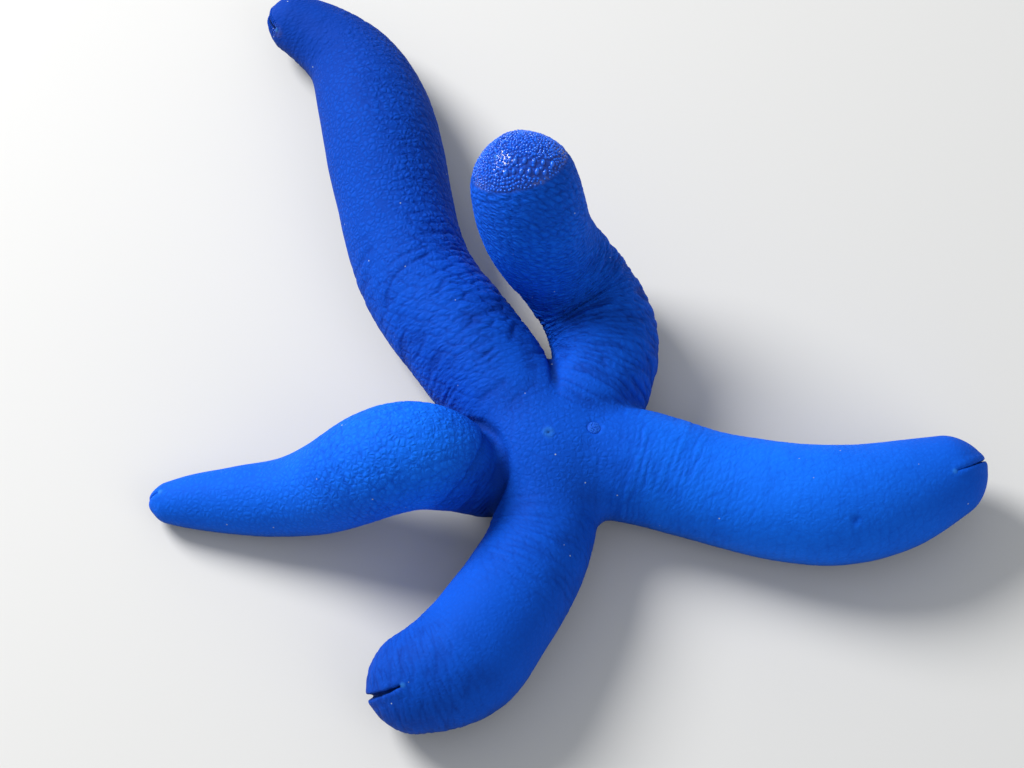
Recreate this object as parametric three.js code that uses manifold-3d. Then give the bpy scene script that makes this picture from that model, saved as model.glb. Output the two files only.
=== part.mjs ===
// A blue sea star, Linckia laevigata, at life size: a central disc and five arms of unequal length.
// Sizes are in millimetres. +Z is up, +X right and +Y away, and the star rests on the plane z = 0.
// Arm a is the longest, at the back left. The letters run counterclockwise, seen from above:
// b arches up out of the disc, c lies curled in front, d lies to the right and e rears up.
import * as THREE from 'three';
import { mergeVertices } from 'three/addons/utils/BufferGeometryUtils.js';
import Module from 'manifold-3d';

const wasm = await Module();
wasm.setup();

// ---- Driving dimensions ----

// Each arm: the turns, in degrees counterclockwise from +X, of the crotches on its two sides; how
// far its tip rolls about the middle line, in degrees; how far back over the tip its furrow shows,
// as a slit, and how wide that slit gapes; and the points that guide its middle line, from the
// centre out, as [x, y, lift, radius], where lift is the height of the sole above the floor.
const ARMS = {
  a: {
    crotches: [94, 160],
    roll: 62,
    slit: 3.8,
    gape: 0.9,
    line: [
      [0, 0, 0, 11.6],
      [-18, 26, 0, 13],
      [-29.2, 40, 0, 12.1],
      [-33.2, 58.5, 0, 12.3],
      [-36, 73.5, 0, 13],
      [-39, 86, 0, 12],
      [-44.6, 100.5, -0.5, 9],
      [-62, 109.5, 4, 5.6],
    ],
  },
  b: {
    crotches: [160, 228],
    roll: -8,
    slit: 2.4,
    gape: 0.9,
    line: [
      [0, 0, 0, 10],
      [-11, -4, -0.5, 8.4],
      [-16, -4.6, 4.5, 8.5],
      [-21.5, -4.6, 9.8, 10.4],
      [-28.5, -4.6, 12.6, 11.4],
      [-36.5, -6, 10.2, 11.3],
      [-44.5, -8, 5, 10],
      [-53.5, -8.6, 0.8, 8.4],
      [-65, -8.2, 0, 7.2],
      [-76, -8, 0, 5.6],
      [-83.6, -8.1, 1.6, 3.2],
    ],
  },
  c: {
    crotches: [228, 302],
    roll: 20,
    slit: 8,
    gape: 1.7,
    line: [
      [0, 0, 0, 11.5],
      [-1.3, -18.5, 0, 10.6],
      [-5.5, -27, 0, 11.5],
      [-12.7, -38.5, 0, 11.9],
      [-18.5, -47.6, 0, 13.2],
      [-37, -52, 1, 8.2],
    ],
  },
  d: {
    crotches: [302, 386],
    roll: -18,
    slit: 8,
    gape: 0.9,
    line: [
      [0, 0, 0, 11.6],
      [19, -2, 0, 12.3],
      [31, -6.5, 0, 11.2],
      [49, -11.2, 0, 12.5],
      [61, -11.7, 0, 12.6],
      [73.5, -9, 0.6, 11.6],
      [89.9, -1.9, 6.5, 6.6],
    ],
  },
  e: {
    crotches: [386, 454],
    roll: 62,
    slit: 2.2,
    gape: 0.9,
    line: [
      [0, 0, 0, 11.5],
      [11.3, 17, 0, 11.3],
      [12.4, 27.5, 0, 11.5],
      [8.4, 36.8, 1, 11.4],
      [1.8, 41.8, 9, 10.7],
      [-3, 42.3, 19, 11.3],
      [-4.8, 46, 29, 11.8],
      [-8.5, 56, 38.4, 9.8],
    ],
  },
};

// Sections of an arm
const SOLE = 0.88; // height of a lying arm's middle line, and so of its flat sole below it, in radii
const BED = 0.2; // how far the soles reach below the floor before they are trimmed level
const AROUND = 20; // corners of a section
const STATION = 4.7; // most distance between sections
const CAP_RINGS = 4; // sections that round off a tip
const FRAME_STEP = 0.5; // distance between the upward directions worked out along an arm
const ROLL_START = 0.55; // where the roll of the tip begins, as a share of the arm's length

// Disc
const DISC_RADIUS = 15.5; // from the centre to its corners, one between each two arms
const DOME_SIZE = [17, 17, 12.6]; // half sizes of its rounded body
const DOME_MIDDLE = 10.3; // height of the middle of that body
const MOUTH_SIZE = [3.4, 3.4, 5]; // half sizes of the hollow of the mouth
const SIEVE_PLACE = [8.8, 1.2]; // x and y of the madreporite, the sieve plate on the disc
const SIEVE_RADIUS = 1.5;
const SIEVE_FLOOR = 19.5; // height of its underside

// Furrow under each arm, which narrows to a slit over the tip
const FURROW_WIDTH = 3.4;
const FURROW_DEPTH = 3.2;
const SLIT_DEPTH = 1.3;
const SLIT_END = 0.5; // width of a slit where it ends on top of the tip, as a share of its gape
const FURROW_CORNERS = 6;
const NARROWING_START = 0.4; // as a share of the arm's length

// Thin cuts that part the body
const CUT = 0.3;
const LENGTHS = ['base', 'middle', 'tip'];
const BASE_END = 0.38; // where an arm's base ends, as a share of its length
const TIP_START = 0.71;
const SECTOR_RADIUS = 80; // a radius that holds the base of every arm
const BLOCK_HEIGHT = 60; // more than the height of the star

// ---- Solids ----

// A closed geometry as a solid.
function solid(geometry) {
  const bare = geometry.clone();
  bare.deleteAttribute('normal');
  bare.deleteAttribute('uv');
  const welded = mergeVertices(bare);
  return new wasm.Manifold(new wasm.Mesh({
    numProp: 3,
    vertProperties: Float32Array.from(welded.attributes.position.array),
    triVerts: Uint32Array.from(welded.index.array),
  }));
}

// A closed body through rings that all have the same number of corners. Each end is closed by a
// fan to the middle of its ring. Seen from the body's far end, the rings turn clockwise.
function loft(rings) {
  const corners = rings[0].length;
  const points = rings.flat();
  const faces = [];
  for (let i = 0; i + 1 < rings.length; i += 1) {
    for (let j = 0; j < corners; j += 1) {
      const here = i * corners + j;
      const beside = i * corners + ((j + 1) % corners);
      faces.push(here, here + corners, beside + corners);
      faces.push(here, beside + corners, beside);
    }
  }
  const lastRing = (rings.length - 1) * corners;
  const back = points.push(middleOf(rings[0])) - 1;
  const front = points.push(middleOf(rings.at(-1))) - 1;
  for (let j = 0; j < corners; j += 1) {
    const beside = (j + 1) % corners;
    faces.push(back, j, beside);
    faces.push(front, lastRing + beside, lastRing + j);
  }
  const geometry = new THREE.BufferGeometry().setFromPoints(points);
  geometry.setIndex(faces);
  return solid(geometry);
}

function middleOf(ring) {
  const middle = new THREE.Vector3();
  ring.forEach((point) => middle.addScaledVector(point, 1 / ring.length));
  return middle;
}

function ellipsoid(halfSizes, middle) {
  return solid(new THREE.SphereGeometry(1, 24, 12)).scale(halfSizes).translate(middle);
}

// An upright round post, from a height up.
function post([x, y], radius, bottom) {
  const geometry = new THREE.CylinderGeometry(radius, radius, BLOCK_HEIGHT, 20);
  geometry.rotateX(Math.PI / 2);
  geometry.translate(x, y, bottom + BLOCK_HEIGHT / 2);
  return solid(geometry);
}

// An upright block over a flat outline that turns counterclockwise, drawn in by half a cut.
function block(corners) {
  const inset = corners.map((corner, i) => {
    const before = corners[(i + corners.length - 1) % corners.length];
    const after = corners[(i + 1) % corners.length];
    const first = corner.clone().sub(before).normalize();
    const second = after.clone().sub(corner).normalize();
    const inward = new THREE.Vector2(-first.y - second.y, first.x + second.x);
    return corner.clone().addScaledVector(inward, CUT / 2 / (1 + first.dot(second)));
  });
  const outline = new THREE.Shape(inset);
  return solid(new THREE.ExtrudeGeometry(outline, { depth: BLOCK_HEIGHT, bevelEnabled: false }));
}

function cornerAt(turn, radius) {
  const angle = THREE.MathUtils.degToRad(turn);
  return new THREE.Vector2(radius * Math.cos(angle), radius * Math.sin(angle));
}

// ---- Arms ----

// The middle line of an arm: the uniform cubic B-spline that its points guide, through the first
// and last of them. The radius of the arm follows the same curve, as a fourth coordinate.
class MiddleLine extends THREE.Curve {
  constructor(line) {
    super();
    this.arcLengthDivisions = 400;
    this.points = line.map(([x, y, lift, radius]) => (
      new THREE.Vector4(x, y, SOLE * radius + lift - BED, radius)
    ));
    this.points.unshift(beyond(this.points[0], this.points[1]));
    this.points.push(beyond(this.points.at(-1), this.points.at(-2)));
  }

  place(t) {
    const spans = this.points.length - 3;
    const span = Math.min(Math.floor(t * spans), spans - 1);
    const u = t * spans - span;
    const shares = [
      (1 - u) ** 3,
      3 * u ** 3 - 6 * u ** 2 + 4,
      -3 * u ** 3 + 3 * u ** 2 + 3 * u + 1,
      u ** 3,
    ];
    const sum = new THREE.Vector4(0, 0, 0, 0);
    shares.forEach((share, i) => sum.addScaledVector(this.points[span + i], share / 6));
    return sum;
  }

  getPoint(t) {
    const { x, y, z } = this.place(t);
    return new THREE.Vector3(x, y, z);
  }

  radiusAt(share) {
    return this.place(this.getUtoTmapping(share)).w;
  }
}

function beyond(end, inner) {
  return end.clone().multiplyScalar(2).sub(inner);
}

// An arm with its middle line, and the upward directions that follow it without needless twist.
function shaped(letter, plan) {
  const middle = new MiddleLine(plan.line);
  const length = middle.getLength();
  const steps = Math.ceil(length / FRAME_STEP);
  const ups = [new THREE.Vector3(0, 0, 1)];
  for (let i = 1; i <= steps; i += 1) {
    ups.push(ups[i - 1].clone().projectOnPlane(middle.getTangentAt(i / steps)).normalize());
  }
  const capLength = plan.line.at(-1)[3];
  return { ...plan, letter, middle, length, ups, capLength, capStart: length - capLength };
}

// How far round the tip's cap a distance along the arm lies: 0 before it and 1 at its pole.
function capShare(arm, distance) {
  return THREE.MathUtils.clamp((distance - arm.capStart) / arm.capLength, 0, 1);
}

// The section of an arm at a distance along it: its centre, directions and radius.
function section(arm, distance) {
  const share = Math.min(distance / arm.length, 1);
  const centre = arm.middle.getPointAt(share);
  const along = arm.middle.getTangentAt(share);
  const eased = THREE.MathUtils.smoothstep(share, ROLL_START, 1);
  const up = arm.ups[Math.round(share * (arm.ups.length - 1))].clone();
  up.applyAxisAngle(along, -THREE.MathUtils.degToRad(arm.roll) * eased);
  up.projectOnPlane(along).normalize();
  const side = new THREE.Vector3().crossVectors(along, up);
  const radius = arm.middle.radiusAt(share) * Math.sqrt(1 - capShare(arm, distance) ** 2);
  return { centre, along, up, side, radius };
}

// The outline of a section: round, with a flat sole.
function armRing(arm, distance) {
  const { centre, up, side, radius } = section(arm, distance);
  return Array.from({ length: AROUND }, (_, j) => {
    const turn = (2 * Math.PI * j) / AROUND;
    return centre.clone()
      .addScaledVector(side, radius * Math.cos(turn))
      .addScaledVector(up, radius * Math.max(Math.sin(turn), -SOLE));
  });
}

// Distances of the sections from one place on an arm to another, closer together round the tip.
function stations(arm, from, to) {
  const bodyEnd = Math.min(to, arm.capStart);
  const count = Math.ceil((bodyEnd - from) / STATION);
  const list = Array.from({ length: count + 1 }, (_, i) => from + ((bodyEnd - from) * i) / count);
  if (to > arm.capStart) {
    for (let i = 1; i <= CAP_RINGS; i += 1) {
      const turn = (i / (CAP_RINGS + 0.4)) * (Math.PI / 2);
      list.push(arm.capStart + arm.capLength * Math.sin(turn));
    }
  }
  return list;
}

function armLength(arm, from, to) {
  return loft(stations(arm, from, to).map((distance) => armRing(arm, distance)));
}

// What is cut away for the furrow: from the mouth, under the arm, round the tip and back over it.
function furrow(arm) {
  const under = stations(arm, 0, arm.length);
  const over = under.filter((distance) => distance > arm.length - arm.slit).reverse();
  over.push(arm.length - arm.slit);
  return loft([
    ...under.map((distance) => furrowRing(arm, distance, false)),
    ...over.map((distance) => furrowRing(arm, distance, true)),
  ]);
}

// A section of the furrow, centred on the skin of the sole or, if onTop, of the top of the tip.
function furrowRing(arm, distance, onTop) {
  const { centre, along, up, side, radius } = section(arm, distance);
  const face = onTop ? 1 : -1;
  const round = capShare(arm, distance);
  const inward = up.clone()
    .multiplyScalar(-face * Math.sqrt(1 - round ** 2))
    .addScaledVector(along, -round);
  const narrowing = THREE.MathUtils.smoothstep(distance, arm.length * NARROWING_START, arm.capStart);
  const share = onTop ? 1 : narrowing;
  const back = onTop ? (arm.length - distance) / arm.slit : 0;
  const gape = arm.gape * THREE.MathUtils.lerp(1, SLIT_END, back);
  const width = THREE.MathUtils.lerp(FURROW_WIDTH, gape, share);
  const depth = THREE.MathUtils.lerp(FURROW_DEPTH, SLIT_DEPTH, share);
  const skin = centre.clone().addScaledVector(up, onTop ? radius : -SOLE * radius);
  return Array.from({ length: FURROW_CORNERS }, (_, j) => {
    const turn = (2 * Math.PI * j) / FURROW_CORNERS;
    return skin.clone()
      .addScaledVector(side, (width / 2) * Math.cos(turn))
      .addScaledVector(inward, depth * Math.sin(turn));
  });
}

// ---- Materials ----

function skinMaterial() {
  return new THREE.MeshStandardMaterial({ color: 0x164fd0, roughness: 0.55, metalness: 0 });
}

function sieveMaterial() {
  return new THREE.MeshStandardMaterial({ color: 0x3f86d8, roughness: 0.6, metalness: 0 });
}

function mesh(name, body, material) {
  const { vertProperties, triVerts } = body.getMesh();
  const geometry = new THREE.BufferGeometry();
  geometry.setAttribute('position', new THREE.BufferAttribute(vertProperties, 3));
  geometry.setIndex(new THREE.BufferAttribute(triVerts, 1));
  geometry.computeVertexNormals();
  const made = new THREE.Mesh(geometry, material);
  made.name = name;
  return made;
}

// ---- The star ----

const arms = Object.entries(ARMS).map(([letter, plan]) => shaped(letter, plan));
const furrows = arms.map(furrow).reduce((joined, cut) => joined.add(cut));
const dome = ellipsoid(DOME_SIZE, [0, 0, DOME_MIDDLE]);
const bases = arms.map((arm) => armLength(arm, 0, arm.length * BASE_END - CUT / 2));

// A body with the furrows cut away and its underside trimmed to lie flat on the floor.
function finished(body) {
  return body.subtract(furrows).trimByPlane([0, 0, 1], 0);
}

// The dome and the roots of all arms, inside the five straight cuts between the crotches.
function discBody() {
  const outline = block(arms.map((arm) => cornerAt(arm.crotches[0], DISC_RADIUS)));
  const joined = bases.reduce((body, base) => body.add(base), dome);
  return finished(joined.intersect(outline).subtract(ellipsoid(MOUTH_SIZE, [0, 0, 0])));
}

// The base of an arm, in the sector between the crotches on its two sides.
function baseBody(arm, base) {
  const [from, to] = arm.crotches;
  const sector = block([
    cornerAt(from, DISC_RADIUS),
    cornerAt(from, SECTOR_RADIUS),
    cornerAt(to, SECTOR_RADIUS),
    cornerAt(to, DISC_RADIUS),
  ]);
  return finished(dome.add(base).intersect(sector));
}

function armBodies(arm, i) {
  const baseEnd = arm.length * BASE_END;
  const tipStart = arm.length * TIP_START;
  return [
    baseBody(arm, bases[i]),
    finished(armLength(arm, baseEnd + CUT / 2, tipStart - CUT / 2)),
    finished(armLength(arm, tipStart + CUT / 2, arm.length)),
  ];
}

const star = new THREE.Group();

// The madreporite is a plug of the disc, with a thin cut round and under it.
const wholeDisc = discBody();
const plug = post(SIEVE_PLACE, SIEVE_RADIUS, SIEVE_FLOOR);
const pocket = post(SIEVE_PLACE, SIEVE_RADIUS + CUT, SIEVE_FLOOR - CUT);
star.add(mesh('disc', wholeDisc.subtract(pocket), skinMaterial()));
star.add(mesh('madreporite', wholeDisc.intersect(plug), sieveMaterial()));

arms.forEach((arm, i) => {
  armBodies(arm, i).forEach((body, j) => {
    star.add(mesh(`arm_${arm.letter}_${LENGTHS[j]}`, body, skinMaterial()));
  });
});

// The origin is under the middle of the whole star.
const middleOfStar = new THREE.Box3().setFromObject(star).getCenter(new THREE.Vector3());
star.position.set(-middleOfStar.x, -middleOfStar.y, 0);

export default star;
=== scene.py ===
import math

import bpy
import numpy as np
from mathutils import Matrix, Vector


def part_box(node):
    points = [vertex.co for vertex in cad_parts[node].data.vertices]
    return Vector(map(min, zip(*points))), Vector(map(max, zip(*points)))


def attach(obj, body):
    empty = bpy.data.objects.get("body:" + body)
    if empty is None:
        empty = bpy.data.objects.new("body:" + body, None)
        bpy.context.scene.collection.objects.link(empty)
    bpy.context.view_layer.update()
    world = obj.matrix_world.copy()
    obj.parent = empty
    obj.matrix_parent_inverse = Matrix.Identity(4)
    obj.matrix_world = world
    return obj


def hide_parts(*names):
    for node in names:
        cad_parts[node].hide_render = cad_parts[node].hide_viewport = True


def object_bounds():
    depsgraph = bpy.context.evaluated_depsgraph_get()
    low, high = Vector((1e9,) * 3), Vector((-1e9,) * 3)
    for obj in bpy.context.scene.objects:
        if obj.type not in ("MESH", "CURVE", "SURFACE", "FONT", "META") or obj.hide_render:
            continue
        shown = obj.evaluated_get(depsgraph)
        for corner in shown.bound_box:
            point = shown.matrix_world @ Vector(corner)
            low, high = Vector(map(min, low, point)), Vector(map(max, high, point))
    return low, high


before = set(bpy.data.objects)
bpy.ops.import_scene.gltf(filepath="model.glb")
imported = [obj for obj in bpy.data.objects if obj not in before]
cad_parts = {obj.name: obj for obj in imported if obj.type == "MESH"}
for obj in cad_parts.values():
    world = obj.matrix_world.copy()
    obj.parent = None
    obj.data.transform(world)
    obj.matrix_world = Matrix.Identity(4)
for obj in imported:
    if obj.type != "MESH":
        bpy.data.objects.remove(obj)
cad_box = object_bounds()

import openvdb
from mathutils import Vector

MM = 0.001

# ---- The body, as the solids have it ----

# Each arm: how far its tip rolls about the middle line, in degrees; how far back over the tip its
# furrow shows, as a slit, and how wide that slit gapes; and the points that guide its middle line,
# as [x, y, lift of the sole, radius].
ARMS = {
    "a": (62, 3.8, 0.9, [
        [0, 0, 0, 11.6], [-18, 26, 0, 13], [-29.2, 40, 0, 12.1], [-33.2, 58.5, 0, 12.3],
        [-36, 73.5, 0, 13], [-39, 86, 0, 12], [-44.6, 100.5, -0.5, 9], [-62, 109.5, 4, 5.6],
    ]),
    "b": (-8, 2.4, 0.9, [
        [0, 0, 0, 10], [-11, -4, -0.5, 8.4], [-16, -4.6, 4.5, 8.5], [-21.5, -4.6, 9.8, 10.4],
        [-28.5, -4.6, 12.6, 11.4], [-36.5, -6, 10.2, 11.3], [-44.5, -8, 5, 10],
        [-53.5, -8.6, 0.8, 8.4], [-65, -8.2, 0, 7.2], [-76, -8, 0, 5.6], [-83.6, -8.1, 1.6, 3.2],
    ]),
    "c": (20, 8, 1.7, [
        [0, 0, 0, 11.5], [-1.3, -18.5, 0, 10.6], [-5.5, -27, 0, 11.5], [-12.7, -38.5, 0, 11.9],
        [-18.5, -47.6, 0, 13.2], [-37, -52, 1, 8.2],
    ]),
    "d": (-18, 8, 0.9, [
        [0, 0, 0, 11.6], [19, -2, 0, 12.3], [31, -6.5, 0, 11.2], [49, -11.2, 0, 12.5],
        [61, -11.7, 0, 12.6], [73.5, -9, 0.6, 11.6], [89.9, -1.9, 6.5, 6.6],
    ]),
    "e": (62, 2.2, 0.9, [
        [0, 0, 0, 11.5], [11.3, 17, 0, 11.3], [12.4, 27.5, 0, 11.5], [8.4, 36.8, 1, 11.4],
        [1.8, 41.8, 9, 10.7], [-3, 42.3, 19, 11.3], [-4.8, 46, 29, 11.8], [-8.5, 56, 38.4, 9.8],
    ]),
}
SOLE = 0.88  # height of a lying arm's middle line above its flat sole, in radii
BED = 0.2  # how far the soles reach below the floor before the trim
ROLL_START = 0.55  # where the roll of the tip begins, as a share of the arm
DOME_SIZE = (17, 17, 12.6)  # half sizes of the disc's rounded body
DOME_MIDDLE = 10.3
MOUTH_SIZE = (3.4, 3.4, 5)
SIEVE_PLACE = (8.8, 1.2)  # x and y of the madreporite
SIEVE_RADIUS = 1.5
FURROW_WIDTH = 3.4
FURROW_DEPTH = 3.2
SLIT_DEPTH = 1.3
SLIT_END = 0.5  # width of a slit where it ends on top of the tip, as a share of its gape
LIP = 0.22  # how far the soft lips narrow the slit on each side
BEADED_TIP = "a"  # the arm with an open slit, a wet tip and granules beside the slit
NARROWING_START = 0.4  # where the furrow begins to narrow to a slit, as a share of the arm
# How soft the fillets are where parts meet and furrows are cut.
SOFT_A_E, SOFT_DISC, SOFT_C_D, SOFT_FRONT, SOFT_B = 0.8, 3, 3.4, 1.6, 0.5
SOFT_FURROW, SOFT_MOUTH = 0.4, 0.5

# ---- How finely it is made ----

VOXEL = 0.3
GRID = openvdb.createLinearTransform(voxelSize=VOXEL)
BAND = 3.6  # how far from a surface its distance field is worked out
CURVE_POINTS = 2001  # of a middle line before it is divided evenly
LINE_STEP = 0.5  # between the places worked out along a middle line
RING_STEP = 2  # line steps between the sections of an arm
CAP_RINGS = 18  # sections round the tip
CAP_END = 0.985  # how far round it the last one lies, as a share
AROUND = 96  # corners of a section
FURROW_CORNERS = 16
CHUNKS = 16  # shares in which the points are compared with a line

# The middle of the disc in the frame, and the distance field's lower corner and size.
MARGIN = 2.4
sieve_middle = sum(np.array(corner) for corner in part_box("madreporite")) / 2 / MM
ORIGIN = np.append(sieve_middle[:2] - SIEVE_PLACE, 0)
box_low, box_high = (np.array(corner) for corner in cad_box)
FIELD_LOW = box_low / MM - ORIGIN - MARGIN
FIELD_SHAPE = tuple(np.ceil((box_high - box_low) / MM / VOXEL + 2 * MARGIN / VOXEL).astype(int))


def in_frame(place):
    return Vector((np.array(place) + ORIGIN) * MM)


def lengths(rows):
    return np.linalg.norm(rows, axis=-1)


def unit(rows):
    return rows / lengths(rows)[..., None]


def circle(corners):
    """The cosines and sines of evenly spaced corners."""
    turn = np.linspace(0, 2 * math.pi, corners, endpoint=False)
    return np.cos(turn), np.sin(turn)


def outlines(middle, across, upward, corners, lowest=-1):
    """A ring of points about each middle, cut flat below lowest."""
    cosine, sine = circle(corners)
    lifted = np.maximum(sine, lowest)[:, None] * upward[:, None]
    return middle[:, None] + cosine[:, None] * across[:, None] + lifted


# ---- Noise ----

TABLE = 4096
SCATTER = (0.5, 0.8, 0.3)  # how far seeds stray from the middles of their cells, as shares
dice = np.random.default_rng(11)
GRADIENTS = unit(dice.normal(size=(TABLE, 3)))
SEEDS = dice.random((TABLE, 3)) * 0.8 + 0.1


def pick(cell):
    """A repeatable place in the tables for each cell of whole numbers."""
    i, j, k = cell.astype(np.int64).T
    mixed = i * 73856093 ^ j * 19349663 ^ k * 83492791
    return (mixed ^ mixed >> 13) & TABLE - 1


def noise(points):
    """Smooth noise, from about -0.7 to 0.7, which changes sign about once a unit."""
    cell = np.floor(points)
    inside = points - cell
    eased = inside**3 * (inside * (inside * 6 - 15) + 10)
    total = np.zeros(len(points))
    for corner in np.ndindex(2, 2, 2):
        slope = GRADIENTS[pick(cell + corner)]
        share = np.where(corner, eased, 1 - eased).prod(1)
        total += share * ((inside - corner) * slope).sum(1)
    return total


def cells(points):
    """Distances to the nearest and second nearest scattered seed, and which seed is nearest."""
    scatter = (SEEDS - 0.5) * SCATTER + 0.5
    cell = np.floor(points)
    first = np.full(len(points), 9.0)
    second = first.copy()
    owner = np.zeros(len(points), int)
    for step in np.ndindex(3, 3, 3):
        there = cell + step - 1
        seed = pick(there)
        gap = lengths(there + scatter[seed] - points)
        closer = gap < first
        second = np.where(closer, first, np.minimum(second, gap))
        owner = np.where(closer, seed, owner)
        first = np.where(closer, gap, first)
    return first, second, owner


def ease(value, low, high):
    """0 below low, 1 above high and smooth between; low may be the greater."""
    share = np.clip((value - low) / (high - low), 0, 1)
    return share * share * (3 - 2 * share)


# ---- Arms ----


def both_faces(under, over):
    """Distances under an arm and back over it, with -1 for those under it and 1 for the others."""
    return np.append(under, over), np.repeat([-1.0, 1.0], [len(under), len(over)])[:, None]


class Arm:
    """An arm's middle line, radius and directions, at even distances along it."""

    def __init__(self, letter, roll, slit, gape, line):
        self.letter = letter
        self.slit = slit
        self.gape = gape - (0 if letter == BEADED_TIP else 2 * LIP)
        guides = np.array([[x, y, SOLE * r + lift - BED, r] for x, y, lift, r in line])
        self.cap = guides[-1, 3]
        guides = np.vstack([2 * guides[0] - guides[1], guides, 2 * guides[-1] - guides[-2]])
        curve = self.spline(guides)
        gone = np.append(0, np.cumsum(lengths(np.diff(curve[:, :3], axis=0))))
        self.length = gone[-1]
        self.cap_start = self.length - self.cap
        self.at = np.linspace(0, self.length, int(self.length / LINE_STEP) + 1)
        samples = np.stack([np.interp(self.at, gone, column) for column in curve.T], axis=1)
        self.centre = samples[:, :3]
        self.radius = samples[:, 3]
        self.along = unit(np.gradient(self.centre, axis=0))
        self.up = self.upward(math.radians(roll))
        self.side = np.cross(self.along, self.up)

    @staticmethod
    def spline(guides):
        """The guides' uniform cubic B-spline."""
        spans = len(guides) - 3
        t = np.linspace(0, spans, CURVE_POINTS)
        span = np.minimum(t.astype(int), spans - 1)
        u = (t - span)[:, None]
        shares = (1 - u) ** 3, 3 * u**3 - 6 * u**2 + 4, -3 * u**3 + 3 * u**2 + 3 * u + 1, u**3
        return sum(share / 6 * guides[span + i] for i, share in enumerate(shares))

    def upward(self, roll):
        """Upward directions carried along the line without twist, then rolled towards the tip."""
        carried = [np.array([0.0, 0.0, 1.0])]
        for tangent in self.along[1:]:
            carried.append(unit(carried[-1] - tangent * carried[-1].dot(tangent)))
        up = np.array(carried)
        turn = -roll * ease(self.at / self.length, ROLL_START, 1)[:, None]
        return up * np.cos(turn) + np.cross(self.along, up) * np.sin(turn)

    def cap_share(self, distance):
        """How far round the tip's cap a distance lies: 0 before it and 1 at its pole."""
        return np.clip((distance - self.cap_start) / self.cap, 0, 1)

    def section(self, distance):
        """Centres, directions along, up and to the side, and radii at distances along the arm."""
        frames = [
            np.stack([np.interp(distance, self.at, column) for column in rows.T], axis=1)
            for rows in (self.centre, self.along, self.up, self.side)
        ]
        radius = np.interp(distance, self.at, self.radius)
        return *frames, radius * np.sqrt(1 - self.cap_share(distance) ** 2)

    def stations(self):
        """Distances of the sections, closer together round the tip."""
        body = np.arange(0, self.cap_start, RING_STEP * LINE_STEP)
        turns = np.linspace(0, math.pi / 2 * CAP_END, CAP_RINGS)
        return np.append(body, self.cap_start + self.cap * np.sin(turns))

    def rings(self):
        """The outlines of the sections: round, with a flat sole."""
        centre, _, up, side, radius = self.section(self.stations())
        radius = radius[:, None]
        return outlines(centre, side * radius, up * radius, AROUND, -SOLE)

    def furrow_rings(self):
        """What is cut away: from the mouth, under the arm, round the tip and back over it."""
        under = self.stations()
        over = np.append(under[under > self.length - self.slit][::-1], self.length - self.slit)
        distance, face = both_faces(under, over)
        skin, inward, side = self.furrow_line(distance, face)
        width, depth = self.furrow_size(distance)
        taper = 1 - (1 - SLIT_END) * (self.length - distance[:, None]) / self.slit
        width = np.where(face > 0, self.gape * taper, width[:, None])
        depth = np.where(face > 0, SLIT_DEPTH, depth[:, None])
        return outlines(skin, side * width / 2, inward * depth, FURROW_CORNERS)

    def furrow_line(self, distance, face):
        """The middle of the furrow on the skin, under the arm where face is -1 and over it where
        it is 1, and the directions into the flesh and to the side."""
        centre, along, up, side, radius = self.section(distance)
        bent = self.cap_share(distance)[:, None]
        inward = -face * np.sqrt(1 - bent**2) * up - bent * along
        skin = centre + up * radius[:, None] * np.where(face > 0, 1, -SOLE)
        return skin, inward, side

    def furrow_size(self, distance):
        """Width and depth of the furrow under the arm."""
        narrowing = ease(distance, self.length * NARROWING_START, self.cap_start)
        width = FURROW_WIDTH + (self.gape - FURROW_WIDTH) * narrowing
        return width, FURROW_DEPTH + (SLIT_DEPTH - FURROW_DEPTH) * narrowing

    def straightened(self, points):
        """How far points lie along, beside and above the middle line, and outside the outline."""
        near = np.hstack([
            ((self.centre**2).sum(1) - 2 * some @ self.centre.T).argmin(1)
            for some in np.array_split(points, CHUNKS)
        ])
        offset = points - self.centre[near]
        axes = self.along, self.side, self.up
        places = np.stack([(offset * rows[near]).sum(1) for rows in axes], axis=1)
        places[:, 0] += self.at[near]
        return places, lengths(offset) - self.radius[near]

    def unrolled(self, places):
        """The same places along the arm and round its skin."""
        turn = np.arctan2(places[:, 1], places[:, 2])
        return np.stack([places[:, 0], turn * self.radius.mean()], axis=1)


arms = {letter: Arm(letter, *plan) for letter, plan in ARMS.items()}


# ---- The distance field of the body ----


def tube_faces(ring_count, corners):
    """Quads between the rings of a tube, and the triangles that close its ends."""
    here = np.arange(ring_count * corners).reshape(ring_count, corners)
    beside = np.roll(here, -1, axis=1)
    quads = np.stack([here[:-1], here[1:], beside[1:], beside[:-1]], axis=2).reshape(-1, 4)
    middle = np.full(corners, here.size)
    starting = np.stack([middle, here[0], beside[0]], axis=1)
    ending = np.stack([middle + 1, beside[-1], here[-1]], axis=1)
    return quads, np.vstack([starting, ending])


def tube_field(rings):
    """Distances from a closed tube at every place of the field, less than 0 inside it."""
    points = np.vstack([rings.reshape(-1, 3), rings[0].mean(0), rings[-1].mean(0)])
    quads, triangles = tube_faces(*rings.shape[:2])
    grid = openvdb.FloatGrid.createLevelSetFromPolygons(
        points=(points - FIELD_LOW).astype(np.float32),
        quads=quads.astype(np.uint32),
        triangles=triangles.astype(np.uint32),
        transform=GRID,
        halfWidth=BAND / VOXEL,
    )
    field = np.empty(FIELD_SHAPE, np.float32)
    grid.copyToArray(field)
    return field


def ellipsoid_field(half_sizes, middle):
    """About the distances from an ellipsoid."""
    axes = [
        (low + VOXEL * np.arange(count) - centre) / size
        for low, count, centre, size in zip(FIELD_LOW, FIELD_SHAPE, middle, half_sizes)
    ]
    share = sum(axis**2 for axis in np.ix_(*axes))
    return ((np.sqrt(share) - 1) * min(half_sizes)).astype(np.float32)


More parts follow.
